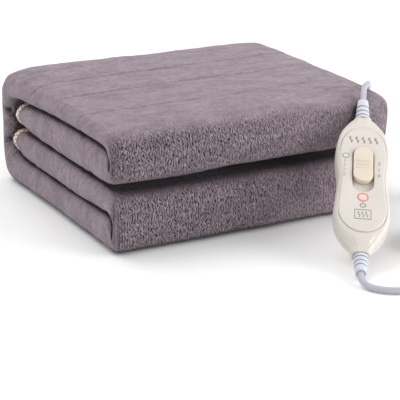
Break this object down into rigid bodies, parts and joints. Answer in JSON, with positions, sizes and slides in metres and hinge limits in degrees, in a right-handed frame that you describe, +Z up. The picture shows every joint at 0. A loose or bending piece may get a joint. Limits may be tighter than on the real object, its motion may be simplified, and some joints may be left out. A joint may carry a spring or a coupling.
{
  "type": "folded electric blanket",
  "caption": "Electric heated blanket of short-pile fleece folded into a square-ended stack, with satin-bound edges and an in-line slide controller on its lead.",
  "frame": {"origin": "middle of the folded stack's underside, on the surface it rests on", "axes": "+X towards the stack's right end where the lead leaves it, +Y away from the folded front, +Z up"},
  "size_m": [0.3657, 0.4738, 0.123],
  "materials": {
    "fleece": "short-pile coral fleece",
    "binding": "satin binding",
    "cream_plastic": "satin moulded",
    "ivory_plastic": "satin moulded",
    "red_lens": "translucent, gloss",
    "clear_lens": "clear, gloss",
    "sleeve": "soft PVC",
    "lead": "soft PVC",
    "tie": "hook and loop strap",
    "blade": "nickel plated"
  },
  "bodies": {
    "folded_blanket": {"blanket": "fleece", "binding_upper": "binding", "binding_lower": "binding", "controller_back": "cream_plastic", "controller_front": "cream_plastic", "controller_plate": "cream_plastic", "lamp_power": "red_lens", "lamp_setting": "clear_lens", "relief_upper": "sleeve", "relief_lower": "sleeve", "cord_entry": "sleeve", "lead_blanket": "lead", "lead_mains": "lead", "lead_coil": "lead", "lead_tail": "lead", "coil_tie": "tie", "relief_plug": "sleeve", "plug_body": "sleeve", "plug_blade_1": "blade", "plug_blade_2": "blade"},
    "switch": {"slider": "ivory_plastic"}
  },
  "joints": [
    {"name": "switch_slide", "type": "slide", "parent": "folded_blanket", "child": "switch", "axis": [0.476, 0.7268, 0.4951], "range_m": [-0.0103, 0]}
  ]
}
